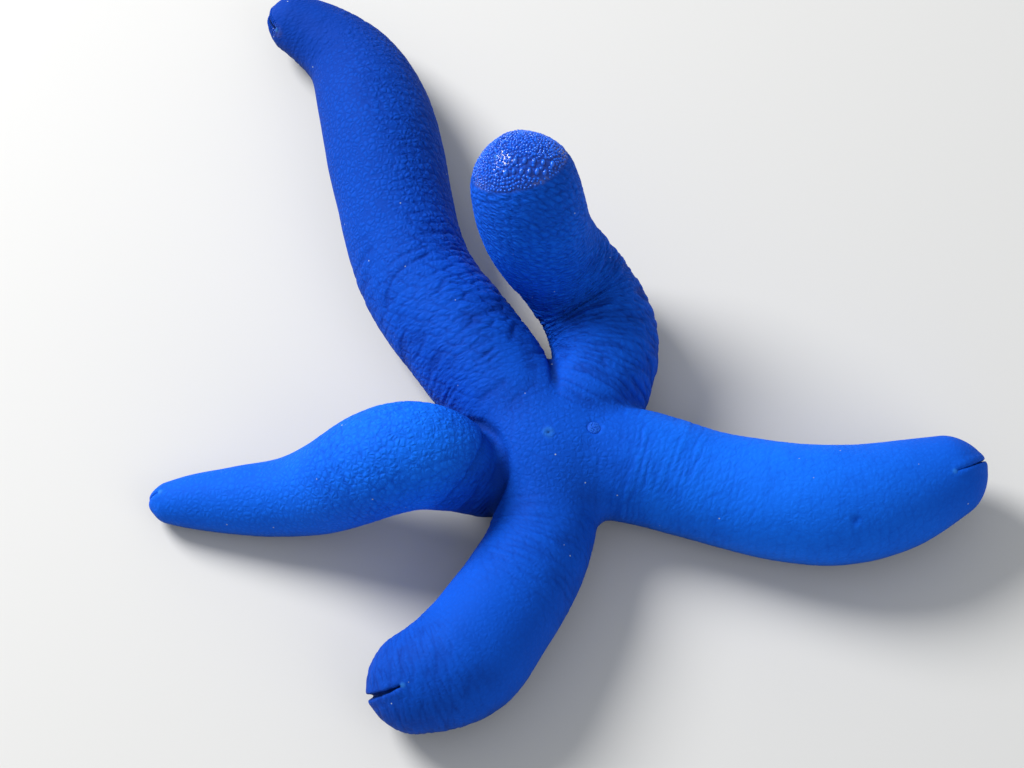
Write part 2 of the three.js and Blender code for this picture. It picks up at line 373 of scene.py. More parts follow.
def join(one, other, soft):
    """The union of two fields, with a fillet where they meet."""
    overlap = np.maximum(soft - np.abs(one - other), 0)
    return np.minimum(one, other) - overlap**2 / (4 * soft)


def body_surface():
    """The body with its furrows cut and its soles laid flat: its points and its quads."""
    fields = {letter: tube_field(arm.rings()) for letter, arm in arms.items()}
    body = join(fields.pop("a"), fields.pop("e"), SOFT_A_E)
    body = join(body, ellipsoid_field(DOME_SIZE, (0, 0, DOME_MIDDLE)), SOFT_DISC)
    front = join(fields.pop("c"), fields.pop("d"), SOFT_C_D)
    body = join(body, front, SOFT_FRONT)
    body = join(body, fields.pop("b"), SOFT_B)
    for arm in arms.values():
        body = -join(-body, tube_field(arm.furrow_rings()), SOFT_FURROW)
    body = -join(-body, ellipsoid_field(MOUTH_SIZE, (0, 0, 0)), SOFT_MOUTH)
    height = FIELD_LOW[2] + VOXEL * np.arange(FIELD_SHAPE[2], dtype=np.float32)
    body = np.maximum(body, -height)
    grid = openvdb.FloatGrid(BAND)
    grid.transform = GRID
    grid.copyFromArray(np.clip(body, -BAND, BAND))
    points, quads = grid.convertToQuads()
    return points.astype(float) + FIELD_LOW, quads


def mesh_of(name, points, faces):
    """A smooth mesh in the frame, from points in millimetres about the disc's middle."""
    made = bpy.data.meshes.new(name)
    made.from_pydata(((points + ORIGIN) * MM).tolist(), [], faces.tolist(), shade_flat=False)
    return made


# ---- Relief of the skin ----

# Stretches of plates on each arm: the middle and half length of a stretch; the flank it keeps to,
# as -1 or 1, or 0 for both; the height of the plates; and their size along and across the arm.
PLATES = {
    "a": [(34, 22, -1, 0.16, 2.1, 2.6), (42, 20, 1, 0.5, 2.7, 3.2), (84, 34, 1, 0.24, 2, 2.2)],
    "b": [(20, 8, 0, 0.12, 1.3, 3.6), (38, 16, 0, 0.13, 1.3, 1.8)],
    "c": [(24, 16, 0, 0.06, 1.5, 3.6), (61, 12, 0, 0.12, 1.2, 7)],
    "d": [(26, 16, 0, 0.05, 1.5, 6), (56, 26, 0, 0.04, 1.7, 2.6)],
    "e": [(22, 16, 0, 0.25, 1.6, 8), (42, 14, 0, 0.36, 1.7, 6.5), (66, 18, 0, 0.22, 1.3, 1.9)],
}
PLATE_FURROW = 0.28  # width of the furrows between plates, in their own size
NARROWEST_FURROW = 0.42  # the same in millimetres, at the least
PLATE_BULGE = 0.9  # how round the plates are, from flat at 0
DISC_PLATES = (0.05, 1.6, 1.6)  # height and size of the plates on the disc
DISC_EDGE = (20, 11)  # distances from its middle between which they begin
SOLE_PLATES = (1.2, 1)  # size of the plates on the soles
FAINT = 0.01  # the share below which plates and wrinkles are left out
# Stretches of long wrinkles across each arm: the middle and half length of a stretch, and the
# depth, spacing and length of its wrinkles.
WRINKLES = {
    "a": [(19, 13, 0.17, 1.6, 12), (34, 26, 0.28, 3.4, 20), (118, 12, 0.16, 1.7, 7)],
    "b": [(14, 12, 0.34, 2, 12), (38, 12, 0.06, 1.5, 6)],
    "c": [(22, 13, 0.14, 2.2, 12), (60, 14, 0.12, 1.6, 12)],
    "d": [(20, 14, 0.16, 1.8, 13), (52, 20, 0.04, 2.2, 10)],
    "e": [(22, 18, 0.32, 1.9, 16), (44, 12, 0.38, 1.9, 16)],
}
WRINKLE_WIDTH = 0.3
# Creases between arms: the two arms and the depth, which also sets their painted shade.
CREVICES = [("a", "e", 0.9), ("a", "b", 0.5), ("b", "c", 0.7)]
CREVICE_START = (7, 15)  # distances from the middle of the disc between which they deepen
BLEND = 0.7  # how far the relief of an arm fades into that of the next
# The finest grain of the skin: at distances along each arm, its strength, and how far it lies in
# rows of scales across the arm instead of round granules.
GRAIN = {
    "a": [(15, 40, 47, 65, 110, 125), (0.4, 0.5, 0.6, 0.85, 0.7, 0.3), (1, 1, 0, 0, 0, 1)],
    "b": [(10, 22, 26, 60, 90), (0.4, 0.7, 0.85, 0.6, 0.35), (1, 1, 0, 0, 0)],
    "c": [(10, 25, 29, 62), (0.35, 0.3, 0.25, 0.25), (1, 1, 0, 0)],
    "d": [(8, 20, 44, 50, 90), (0.4, 0.3, 0.22, 0.25, 0.2), (1, 1, 1, 0, 0)],
    "e": [(10, 25, 42, 60, 80), (0.5, 0.6, 0.9, 1.1, 1.1), (1, 1, 1, 1, 1)],
}
DISC_GRAIN = 0.45
STRAYS = [(4.2, 1), (1.3, 0.12)]  # sizes and amounts of the waves of the skin
ROW_STRAY = 0.5  # how much of them the rows of plates and the wrinkles take
SCALE = (1.25, 1.9)  # size of the finest scales, along an arm and across it
SWELLS = [(11, 0.32), (5, 0.07)]  # sizes and heights of the soft unevenness
# Folds in arm e's bend: where along it, how deep and how wide.
FOLDS = [(37.5, 0.3, 0.9), (40.6, 0.5, 1), (43.8, 0.4, 0.9), (47, 0.25, 0.8)]
ROOT_START = 10  # where the sunk root of arm b begins along it
ROOT_END = 25.2  # where the edge of its arch hangs over the root, on the middle line
ROOT_LEAN = -0.3  # how that edge runs on to the side
ROOT_DEPTH = 1
ROOT_CREASE = 0.4  # depth of the crease under the edge
# Painted shade in the crease under the edge.
ROOT_SHADE = 0.2
HEAD_FACE = unit(np.array([-0.275, 0.555, 1]))  # where the beaded side of arm e's tip faces
HEAD_EDGE = 62.6  # how far in that direction the beads begin
WETNESS = 0.8  # of its skin and granules
SLIT_SWELL = 0.2  # height of the lips of the slits
# How much painted shade darkens the depth of each arm's slit.
SLIT_PAINTED_SHADE = {"a": 0.9, "b": 0.6, "c": 0.6, "d": 0.6, "e": 0.6}
EYE_RADIUS = 0.55  # pale eye plate at the end of each slit
EYE_HEIGHT = 0.12
TIP_WETNESS = 0.4  # of the beaded tip
TIP_WET_EDGE = (2.2, 1.3)  # distances from its eye plate between which it gets wet
PIT = ("d", 62.3, 7.1)  # a small pit: its arm, and its place along and beside it
PIT_RADIUS = 1.2
PIT_DEPTH = 0.45
PORE_PLACE = (-0.6, -0.3)
PORE_RADIUS = 0.45
PORE_DEPTH = 0.5
HALO_RADIUS = 1.7
MOAT_DEPTH = 0.15  # of the groove round the madreporite
SIEVE_SEAT = 0.6  # how deep the skin lies under it
# How much painted shade darkens the depths of the furrows.
FURROW_SHADE = 0.85
FURROW_PALENESS = 0.3  # of the skin beside the furrows
SOLE_FADE = (0.2, 2.5)  # heights between which the relief fades in above the floor
SOLE_GROOVE = 0.25
# How light the blue is, from 0 to 1, at distances along each arm.
TONES = {
    "a": [(10, 40, 80, 105, 125), (0.38, 0.4, 0.25, 0.12, 0.02)],
    # Arm b's low values near its sunk root are painted shade under its arch.
    "b": [(8, 20, 32, 50, 90), (0.15, 0.2, 1.0, 0.78, 0.66)],
    "c": [(10, 25, 50, 70), (0.4, 0.48, 0.48, 0.24)],
    "d": [(10, 25, 50, 75, 92), (0.5, 0.84, 0.92, 0.72, 0.52)],
    "e": [(10, 30, 45, 60, 66, 80), (0.48, 0.6, 0.66, 0.72, 0.78, 0.5)],
}
# Marks on the skin's points. Those for creases, low flanks and dark places carry painted shade.
MARKS = "tone crease grain rows grey pale dark wet".split()


class Relief:
    """Heights and markings of the skin at each point of the body's surface."""

    def __init__(self, points, normals):
        self.points = points
        self.normals = normals
        self.away = lengths(points[:, :2])
        self.top = points[:, 2] > DOME_MIDDLE
        found = {letter: arm.straightened(points) for letter, arm in arms.items()}
        self.places = {letter: place for letter, (place, _) in found.items()}
        outside = np.stack([gap for _, gap in found.values()], axis=1)
        nearness = np.exp((outside.min(1, keepdims=True) - outside) / BLEND)
        self.share = dict(zip(arms, (nearness / nearness.sum(1, keepdims=True)).T))
        self.stray = sum(amount * noise(points / size) for size, amount in STRAYS)
        self.height = sum(height * noise(points / size) for size, height in SWELLS)
        self.marks = {name: np.zeros(len(points)) for name in MARKS}
        self.flat = {letter: arms[letter].unrolled(place) for letter, place in self.places.items()}
        lie = np.choose(outside.argmin(1)[:, None], list(self.flat.values()))
        self.marks["lie"] = self.in_rows(slice(None), lie, *SCALE)

    def mark(self, name, amount):
        self.marks[name] = np.maximum(self.marks[name], amount)

    def cut(self, shape, depth, crease, near=slice(None)):
        """Lowers the skin in a shape and marks it as a crease, which the skin darkens with painted
        shade.
        """
        self.height[near] -= depth * shape
        self.marks["crease"][near] += crease * shape

    def on(self, letter):
        """An arm's share of each point, and how far along, beside and above its line that lies."""
        return self.share[letter], *self.places[letter].T

    def stretch(self, letter, middle, half, reach):
        """The arm's share of each point on a stretch of it, which fades out at its ends."""
        share, along, _, _ = self.on(letter)
        return share * ease(np.abs(along - middle), half * reach, half * 0.6)

    def in_rows(self, near, flat, length, width):
        """Places in units of plates in wavy rows, where each lies between two of the next row."""
        row = (flat[:, 0] + ROW_STRAY * self.stray[near]) / length
        return np.stack([row, flat[:, 1] / width + row / 2, np.full(len(row), 0.5)], axis=1)

    def plates(self, near, flat, length, width):
        """Rounded plates between thin furrows of uneven depth, from 0 to 1."""
        first, second, owner = cells(self.in_rows(near, flat, length, width))
        depth = 0.3 + 0.7 * ease(noise(self.points[near] / 2.3), -0.3, 0.25)
        furrow = depth * ease(second - first, max(PLATE_FURROW, NARROWEST_FURROW / length), 0)
        return (1 - 0.6 * furrow) * (0.95 + 0.3 * SEEDS[owner, 0] - PLATE_BULGE * first**2), furrow

    def raise_plates(self, amount, flat, height, length, width):
        """Adds plates wherever their amount isn't faint."""
        near = np.flatnonzero(amount > FAINT)
        amount = amount[near]
        pattern, furrow = self.plates(near, flat[near], length, width)
        self.height[near] += amount * height * (pattern - 0.6)
        # Painted shade in the furrows between plates.
        self.marks["crease"][near] += amount * furrow * min(1, 0.25 + height / 0.3)

    def texture(self):
        """Plates on the arms and the disc."""
        on_disc = ease(self.away, *DISC_EDGE) * self.top
        self.raise_plates(on_disc, self.points[:, :2], *DISC_PLATES)
        for letter in arms:
            side = self.places[letter][:, 1]
            for middle, half, flank, *plates in PLATES[letter]:
                kept = ease(flank * side, -3, 3) if flank else 1
                amount = self.stretch(letter, middle, half, 1.15) * kept * (1 - on_disc)
                self.raise_plates(amount, self.flat[letter], *plates)

    def wrinkles(self):
        """Long thin wrinkles across the arms."""
        uneven = ease(noise(self.points / 6), -0.35, 0.25)
        for letter in arms:
            place = self.places[letter]
            for middle, half, depth, spacing, length in WRINKLES[letter]:
                amount = self.stretch(letter, middle, half, 1.1) * uneven
                amount *= ease(place[:, 2], -8, 0)
                near = np.flatnonzero(amount > FAINT)
                squeezed = place[near] / (spacing, length, length)
                squeezed[:, 0] += ROW_STRAY * self.stray[near] / spacing
                line = np.exp(-((noise(squeezed) * spacing / WRINKLE_WIDTH) ** 2)) * amount[near]
                # Painted shade along the wrinkle.
                self.cut(line, depth, min(1, 0.15 + depth / 0.4), near)

    def grain(self):
        """How strong the finest grain of the skin is, and how far it lies in rows."""
        lone = ease(np.max(list(self.share.values()), axis=0), 0.7, 0.98)
        on_disc = ease(self.away, *DISC_EDGE)
        for letter, (at, strength, rows) in GRAIN.items():
            share, along, _, _ = self.on(letter)
            self.marks["grain"] += share * np.interp(along, at, strength)
            self.marks["rows"] += share * np.interp(along, at, rows) * lone * (1 - on_disc)
        self.marks["grain"] += on_disc * (DISC_GRAIN - self.marks["grain"])

    def crevices(self):
        """Creases where arms press against each other, darkened with painted shade."""
        away = ease(self.away, *CREVICE_START)
        for one, other, depth in CREVICES:
            between = (4 * self.share[one] * self.share[other]) ** 2 * away
            # Painted shade deep in the crevice, through the crease and dark marks.
            self.cut(between, depth, 1)
            self.mark("dark", 0.6 * depth * ease(between, 0.4, 1))

    def folds(self):
        """Deep folds across the concave bend of arm e."""
        share, along, _, up = self.on("e")
        top = share * ease(up, -2, 6)
        for middle, depth, width in FOLDS:
            fold = np.exp(-(((along + self.stray - middle) / width) ** 2)) * top
            # Painted shade in the fold.
            self.cut(fold, depth, 0.7 * depth)

    def root(self):
        """The sunk root of arm b, under the overhanging edge of its arch, with painted shade in
        its crease.
        """
        share, along, side, up = self.on("b")
        edge = ROOT_END + ROOT_LEAN * side + self.stray
        sunk = share * ease(up, -4, 2) * ease(along, ROOT_START, ROOT_START + 5)
        sunk *= ease(along, edge + 0.4, edge - 0.4)
        crease = share * np.exp(-(((along - edge + 0.6) / 0.7) ** 2)) * ease(up, -5, 0)
        self.height -= ROOT_DEPTH * sunk + ROOT_CREASE * crease
        # Painted shade along the crease under the edge.
        self.mark("dark", ROOT_SHADE * crease)

    def tip(self, letter):
        """The lips of the slit, painted shade in its depth and the pale eye plate at its end."""
        arm = arms[letter]
        share, along, side, up = self.on(letter)
        near = share * ease(arm.length - along, arm.slit + 1, arm.slit - 0.5)
        near *= (up > 0) | (along > arm.cap_start)
        if letter != BEADED_TIP:
            self.height += SLIT_SWELL * near * ease(np.abs(side), 2.4, 0.8)
        sunk = arm.section(along)[4] - np.hypot(side, up)
        narrow = np.abs(side) < arm.gape / 2 + 0.15
        # Painted shade in the depth of the slit.
        self.mark("dark", SLIT_PAINTED_SHADE[letter] * near * narrow * ease(sunk, 0.1, 0.5))
        eye = arm.furrow_line(np.array([arm.length - arm.slit - 0.5]), 1)[0]
        gap = lengths(self.points - eye)
        self.mark("pale", 0.3 * ease(gap, EYE_RADIUS * 1.4, EYE_RADIUS * 0.3))
        self.height += EYE_HEIGHT * np.sqrt(np.clip(1 - (gap / EYE_RADIUS) ** 2, 0, 1))
        if letter == BEADED_TIP:
            self.mark("wet", TIP_WETNESS * ease(gap, *TIP_WET_EDGE))

    def head(self):
        """The wet beaded side of arm e's tip."""
        above = self.points @ HEAD_FACE - HEAD_EDGE
        wet = self.share["e"] * ease(above, -0.3, 0.6) * (self.points[:, 2] > 30)
        self.mark("wet", WETNESS * wet)
        # Painted shade on the skin between the beads of the wet head.
        self.marks["crease"] += 0.8 * wet

    def pit(self):
        """The small pit in arm d."""
        share, along, side, up = self.on(PIT[0])
        gap = np.hypot(along - PIT[1], side - PIT[2]) + 9 * (up < 0)
        self.cut(share * ease(gap, PIT_RADIUS, 0), PIT_DEPTH, 0.5)

    def disc(self):
        """The pore at the middle of the disc, with its halo, and the moat of the madreporite."""
        gap = lengths(self.points[:, :2] - PORE_PLACE)
        wavy = gap + 0.35 * noise(self.points / 0.9)
        self.mark("pale", 0.2 * ease(wavy, HALO_RADIUS, 0.3) * self.top)
        pore = PORE_DEPTH * ease(gap, PORE_RADIUS * 1.6, 0.1)
        self.height += self.top * (0.12 * ease(gap, 1.5, 0.6) - pore)
        # Painted shade in the pore.
        self.mark("dark", 0.8 * self.top * ease(gap, PORE_RADIUS * 1.2, 0.1))
        ring = lengths(self.points[:, :2] - SIEVE_PLACE) - SIEVE_RADIUS
        moat = MOAT_DEPTH * np.exp(-((ring / 0.3) ** 2))
        self.height -= self.top * (moat + SIEVE_SEAT * ease(ring, -0.1, -0.5))

    def underside(self):
        """Painted shade in the depths of the furrows, with paler skin beside them."""
        for letter, arm in arms.items():
            share, along, side, up = self.on(letter)
            sole = -SOLE * arm.section(along)[4]
            below = share * (up < 0.6 * sole)
            beside = np.abs(side) - arm.furrow_size(along)[0] / 2
            # Painted shade in the depths of the furrows.
            shade = FURROW_SHADE * below * ease(beside, 0.2, 0)
            self.mark("dark", shade * ease(up - sole, 0.2, 1))
            pale = FURROW_PALENESS * below * ease(beside, 3, 0.5)
            self.mark("pale", pale * ease(along, arm.cap_start, arm.cap_start - 9))

    def grooves(self):
        """How deep the soles are grooved between their plates."""
        lying = ease(-self.normals[:, 2], 0.8, 0.98) * (self.points[:, 2] < 0.1)
        depth = np.zeros(len(self.points))
        for letter, share in self.share.items():
            near = np.flatnonzero(share * lying > 0.05)
            _, furrow = self.plates(near, self.places[letter][near, :2], *SOLE_PLATES)
            depth[near] += (share * lying)[near] * SOLE_GROOVE * furrow
        # Painted shade in the grooves of the soles.
        self.marks["crease"] += depth
        return depth

    def tones(self):
        """How light the blue is along each arm, and the painted shade on its low flanks facing
        down.
        """
        for letter, tones in TONES.items():
            share, along, _, _ = self.on(letter)
            self.marks["tone"] += share * np.interp(along, *tones)
        low = ease(self.points[:, 2], 16, 4)
        # Painted shade on low flanks that face down.
        self.mark("grey", 0.8 * ease(self.normals[:, 2], 0.35, -0.5) * low)

    def moved(self):
        """The points, lifted along their normals to the relief's height."""
        fade = ease(self.points[:, 2], *SOLE_FADE) * (1 - self.marks["dark"]) ** 0.5
        lift = self.height * fade - self.grooves()
        moved = self.points + self.normals * lift[:, None]
        moved[:, 2] = np.maximum(moved[:, 2], 0)
        return moved


# ---- Materials ----


class Shader:
    """A material's nodes, made one after another."""

    def __init__(self, name):
        self.material = bpy.data.materials.new(name)
        self.material.use_nodes = True
        self.tree = self.material.node_tree
        self.surface = self.tree.nodes["Principled BSDF"]

    def node(self, kind, inputs=(), out=None, **settings):
        """The output named out, or else the first, of a new node with its inputs and settings."""
        made = self.tree.nodes.new("ShaderNode" + kind)
        for name, value in settings.items():
            setattr(made, name, value)
        self.feed(made, inputs)
        return next(s for s in made.outputs if s.enabled and out in (None, s.name))

    def feed(self, target, inputs):
        """Links or sets inputs, each found by its number or its name."""
        for key, value in dict(inputs).items():
            sockets = enumerate(target.inputs)
            socket = next(s for i, s in sockets if s.enabled and key in (i, s.name))
            if isinstance(value, bpy.types.NodeSocket):
                self.tree.links.new(value, socket)
            else:
                socket.default_value = value

    def place(self):
        return self.node("TexCoord", out="Object")

    def mark(self, name, out="Fac"):
        return self.node("Attribute", out=out, attribute_name=name)

    def sum(self, first, second, factor=1):
        """first + second * factor"""
        return self.node("Math", {0: second, 1: factor, 2: first}, operation="MULTIPLY_ADD")

    def between(self, value, low, high, start=0, end=1):
        """value taken smoothly from the range low to high to the range start to end."""
        inputs = dict(enumerate((value, low, high, start, end)))
        return self.node("MapRange", inputs, interpolation_type="SMOOTHSTEP")

    def mix(self, amount, under, over):
        return self.node("Mix", {"Factor": amount, "A": under, "B": over}, data_type="RGBA")

    def noise(self, place, size, detail=2):
        """Noise about 0, of a size in the units of place."""
        inputs = {"Vector": place, "Scale": 1 / size, "Detail": detail}
        return self.sum(self.node("TexNoise", inputs), -0.5)

    def cells(self, place, waves, scatter, **settings):
        """How far places are from the wavy edges of the scattered cells they lie in."""
        wavy = self.node("VectorMath", {0: waves, 1: WAVINESS, 2: place}, operation="MULTIPLY_ADD")
        inputs = {"Vector": wavy, "Scale": 1, "Randomness": scatter}
        return self.node("TexVoronoi", inputs, feature="DISTANCE_TO_EDGE", **settings)

    def finished(self, inputs):
        """The material, its surface given its inputs."""
        self.feed(self.surface, inputs)
        return self.material


DEEP = (0.003, 0.043, 0.34, 1)
BLUE = (0.004, 0.09, 0.62, 1)
AZURE = (0.007, 0.176, 0.98, 1)
# The colour of painted shade on the low flanks.
FLANK_SHADE_BLUE = (0.02, 0.05, 0.14, 1)
PALE_BLUE = (0.07, 0.38, 0.78, 1)
# The colour of painted shade in crevices, slits, furrows and the pore.
PAINTED_SHADE_BLUE = (0.0015, 0.012, 0.07, 1)
SAND = (0.42, 0.5, 0.55, 1)
CREAM = (0.62, 0.60, 0.46, 1)
GRANULE = 1.2 * MM  # size of the round granules of the skin
GRANULE_SCATTER, SCALE_SCATTER = 0.9, 0.7  # how unevenly granules and scales lie
WAVINESS = (0.7, 0.7, 0.7)  # of their edges
# How far the painted shade of their seams and their hollow edges reach in, and what these add.
SEAM_REACH, SEAM_PAINTED_SHADE = 0.26, -0.22
HOLLOW_REACH, HOLLOW_HEIGHT = 0.42, -0.17
# How much painted shade darkens the creases.
CREASE_PAINTED_SHADE = -0.3
MOTTLE, MOTTLE_LIGHT = 7 * MM, 0.16  # size and strength of the broad mottling
SPECKLE, SPECKLE_LIGHT = 0.7 * MM, 0.16  # the same of the finest one
FLECKS = 4.6 * MM  # distance between pale flecks
FLECK_EDGE = (0.045, 0.02)  # how far they reach, in shares of that distance


def skin_material():
    """Matt blue skin of granules and scales, with painted shade in its creases."""
    shader = Shader("sea_star_skin")
    place = shader.place()
    lie = shader.mark("lie", "Vector")
    scaled = shader.node("VectorMath", {0: place, "Scale": 1 / GRANULE}, operation="SCALE")
    waves = shader.node("TexNoise", {"Vector": scaled, "Scale": 0.9, "Detail": 1}, "Color")
    granules_edge = shader.cells(scaled, waves, GRANULE_SCATTER)
    scales_edge = shader.cells(lie, waves, SCALE_SCATTER, voronoi_dimensions="2D")
    edge = shader.node("Mix", {0: shader.mark("rows"), 2: granules_edge, 3: scales_edge})
    seams, hollows = (
        shader.sum(0, shader.between(edge, reach, 0), shader.mark("grain"))
        for reach in (SEAM_REACH, HOLLOW_REACH)
    )
    grain = shader.noise(place, SPECKLE, 3)
    light = shader.sum(shader.mark("tone"), shader.noise(place, MOTTLE, 3), MOTTLE_LIGHT)
    light = shader.sum(light, grain, SPECKLE_LIGHT)
    # Painted shade in the seams between granules and scales.
    light = shader.sum(light, seams, SEAM_PAINTED_SHADE)
    # Painted shade in creases, furrows, wrinkles and folds.
    light = shader.sum(light, shader.mark("crease"), CREASE_PAINTED_SHADE)
    ramp = shader.node("ValToRGB", {"Fac": light})
    stops = ramp.node.color_ramp.elements
    stops[0].color = DEEP
    stops[1].color = AZURE
    stops.new(0.5).color = BLUE
    flecks = shader.node("TexVoronoi", {"Vector": place, "Scale": 1 / FLECKS})
    fleck = shader.between(flecks, *FLECK_EDGE)
    # Painted shade on the low flanks.
    colour = shader.mix(shader.mark("grey"), ramp, FLANK_SHADE_BLUE)
    colour = shader.mix(shader.mark("pale"), colour, PALE_BLUE)
    colour = shader.mix(fleck, colour, SAND)
    # Painted shade where the dark mark lies.
    colour = shader.mix(shader.mark("dark"), colour, PAINTED_SHADE_BLUE)
    height = shader.sum(shader.sum(0, hollows, HOLLOW_HEIGHT), grain, 0.05)
    bump = shader.node("Bump", {"Height": height, "Distance": MM})
    return shader.finished({
        "Base Color": colour,
        "Roughness": shader.sum(0.68, grain, 0.12),
        "Normal": bump,
        "Specular IOR Level": 0.05,
        "Coat Weight": shader.mark("wet"),
        "Coat Roughness": 0.1,
    })


def sieve_material():
    """The madreporite: pale ridges round winding grooves."""
    shader = Shader("sea_star_sieve")
    place = shader.place()
    light = shader.sum(shader.mark("ridge"), shader.noise(place, 0.6 * MM), 0.4)
    colour = shader.mix(shader.between(light, 0.1, 1.2, 0, 0.08), BLUE, PALE_BLUE)
    return shader.finished({
        "Base Color": colour,
        "Roughness": shader.sum(0.6, light, 0.1),
        "Specular IOR Level": 0.15,
    })


def soft_material(name, root, end):
    """Moist flesh that changes its colour from its root to its end."""
    shader = Shader(name)
    mottle = shader.noise(shader.place(), SPECKLE, 3)
    light = shader.sum(shader.mark("reach"), mottle, 0.6)
    bump = shader.node("Bump", {"Height": mottle, "Distance": 0.1 * MM})
    return shader.finished({
        "Base Color": shader.mix(shader.between(light, 0.1, 0.9), root, end),
        "Roughness": shader.sum(0.42, mottle, 0.2),
        "Normal": bump,
        "Specular IOR Level": 0.3,
        "Subsurface Weight": 0.2,
        "Subsurface Scale": 0.5 * MM,
    })


# ---- Pieces ----


def added(name, data):
    """A new object in the scene."""
    made = bpy.data.objects.new(name, data)
    bpy.context.scene.collection.objects.link(made)
    return made


def piece(name, points, faces, marks, material, slot="skin", replaced=()):
    """A piece of the model, with marks on its points: numbers, or vectors of three."""
    mesh = mesh_of(name, points, faces)
    for mark, values in marks.items():
        kind, key = ("FLOAT_VECTOR", "vector") if values.ndim == 2 else ("FLOAT", "value")
        attribute = mesh.attributes.new(mark, kind, "POINT")
        attribute.data.foreach_set(key, values.astype(np.float32).ravel())
    mesh.materials.append(material)
    made = added(name, mesh)
    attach(made, "root")
    if replaced:
        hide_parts(*replaced)
    return made


def skin_piece(material):
    """The whole skin, the marks on its points and one point of each face."""
    points, quads = body_surface()
    base = mesh_of("base", points, quads)
    normals = np.empty(points.size, np.float32)
    base.vertex_normals.foreach_get("vector", normals)
    relief = Relief(points, normals.reshape(-1, 3).astype(float))
    bpy.data.meshes.remove(base)
    relief.texture()
    relief.wrinkles()
    relief.grain()
    relief.crevices()
    relief.folds()
    relief.root()
    for letter in arms:
        relief.tip(letter)
    relief.head()
    relief.pit()
    relief.disc()
    relief.underside()
    relief.tones()
    fleshy = [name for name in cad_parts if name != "madreporite"]
    skin = piece("skin", relief.moved(), quads, relief.marks, material, "skin", fleshy)
    return skin, relief.marks, quads[:, 0]


CORNERS = 8  # of granules, feet and spines


def lathe(profile):
    """A shape round z, open below, from its outline of (radius, height) up to its top."""
    cosine, sine = circle(CORNERS)
    rings = [
        np.stack([radius * cosine, radius * sine, np.full(CORNERS, height)], axis=1)
        for radius, height in profile[:-1]
    ]
    quads, ends = tube_faces(len(rings), CORNERS)
    quads = quads[:, ::-1]
    top = ends[CORNERS:, ::-1] - (0, 0, 1)
    points = np.vstack([*rings, (0, 0, profile[-1][1])])
    return points, np.vstack([quads[:, :3], quads[:, [0, 2, 3]], top])


def copies(shape, origins, axes):
    """Copies of a shape, each at its origin, with its x, y and z laid along its three axes."""
    points, triangles = shape
    moved = np.einsum("vi,nij->nvj", points, axes) + origins[:, None]
    faces = triangles + len(points) * np.arange(len(origins))[:, None, None]
    return moved.reshape(-1, 3), faces.reshape(-1, 3)


def standing(outward, lengthwise, sizes):
    """Axes of shapes that stand outward, their x turned lengthwise, with their sizes."""
    across = unit(np.cross(outward, lengthwise))
    axes = np.stack([np.cross(across, outward), across, outward], axis=1)
    return axes * sizes[:, :, None]


BEAD = [(1, -0.5), (1, 0.1), (0.8, 0.62), (0.4, 0.93), (0, 1)]  # outline of a granule
HEAD_BEADS = 2900  # on a whole ball about the tip of arm e
HEAD_BEAD_SIZE = (0.33, 0.33, 0.3)
DROP_ROWS = [(47.4, -7.3, 1.6, 1.87), (45.2, -9.2, -1.2, 1.57)]  # y, first and last x, spacing
DROP_SIZE = (0.85, 0.48, 0.5)
DROP_ROOM = 1  # how far granules keep from the drops
LIP_PITCH = 0.62  # distance between the granules beside the furrows
LIP_ROWS = (0.25, 0.82)  # how far their rows lie from its edge
LIP_BEAD_SIZE = (0.28, 0.26, 0.2)
GOLDEN = math.pi * (3 - math.sqrt(5))
DOWN = (0, 0, -1)


def met(skin, starts, directions):
    """Where rays meet the skin, in millimetres: the rays that do, places, normals and faces."""
    hits = []
    directions = np.broadcast_to(directions, starts.shape)
    for i, (start, direction) in enumerate(zip(starts, directions)):
        found, place, normal, face = skin.ray_cast(in_frame(start), Vector(direction))
        if found:
            hits.append((i, np.array(place) / MM - ORIGIN, np.array(normal), face))
    return [np.array(column) for column in zip(*hits)]


def head_beads(skin):
    """Drop-shaped granules in two rows, and round ones spread over the head of arm e."""
    starts = np.array([
        (x, y, 70) for y, first, last, step in DROP_ROWS for x in np.arange(first, last, step)
    ])
    _, drops, drop_normals, drop_faces = met(skin, starts, DOWN)
    sizes = DROP_SIZE * (0.85 + 0.3 * dice.random((len(drops), 1)))
    drop_axes = standing(drop_normals, (0.15, 1, 0), sizes)

    index = np.arange(HEAD_BEADS) + 0.5
    height = 1 - 2 * index / HEAD_BEADS
    level = np.sqrt(1 - height**2)
    turn = GOLDEN * index
    ball = np.stack([level * np.cos(turn), level * np.sin(turn), height], axis=1)
    ball = unit(ball + 0.012 * dice.normal(size=ball.shape))
    ball = ball[ball @ HEAD_FACE > 0]
    middle = arms["e"].section(np.array([arms["e"].cap_start]))[0]
    _, places, normals, faces = met(skin, middle + 25 * ball, -ball)
    above = places @ HEAD_FACE - HEAD_EDGE
    keep = (above > 0.25) & (lengths(places[:, None] - drops).min(1) > DROP_ROOM)
    places, normals, faces, above = places[keep], normals[keep], faces[keep], above[keep]
    growth = 0.6 + 0.35 * ease(above, 0, 3) + 0.2 * dice.random(len(above))
    axes = standing(normals, (1, 0.2, 0.1), HEAD_BEAD_SIZE * growth[:, None])
    sets = (drops, places), (drop_axes, axes), (drop_faces, faces)
    return [np.concatenate(rows) for rows in sets]


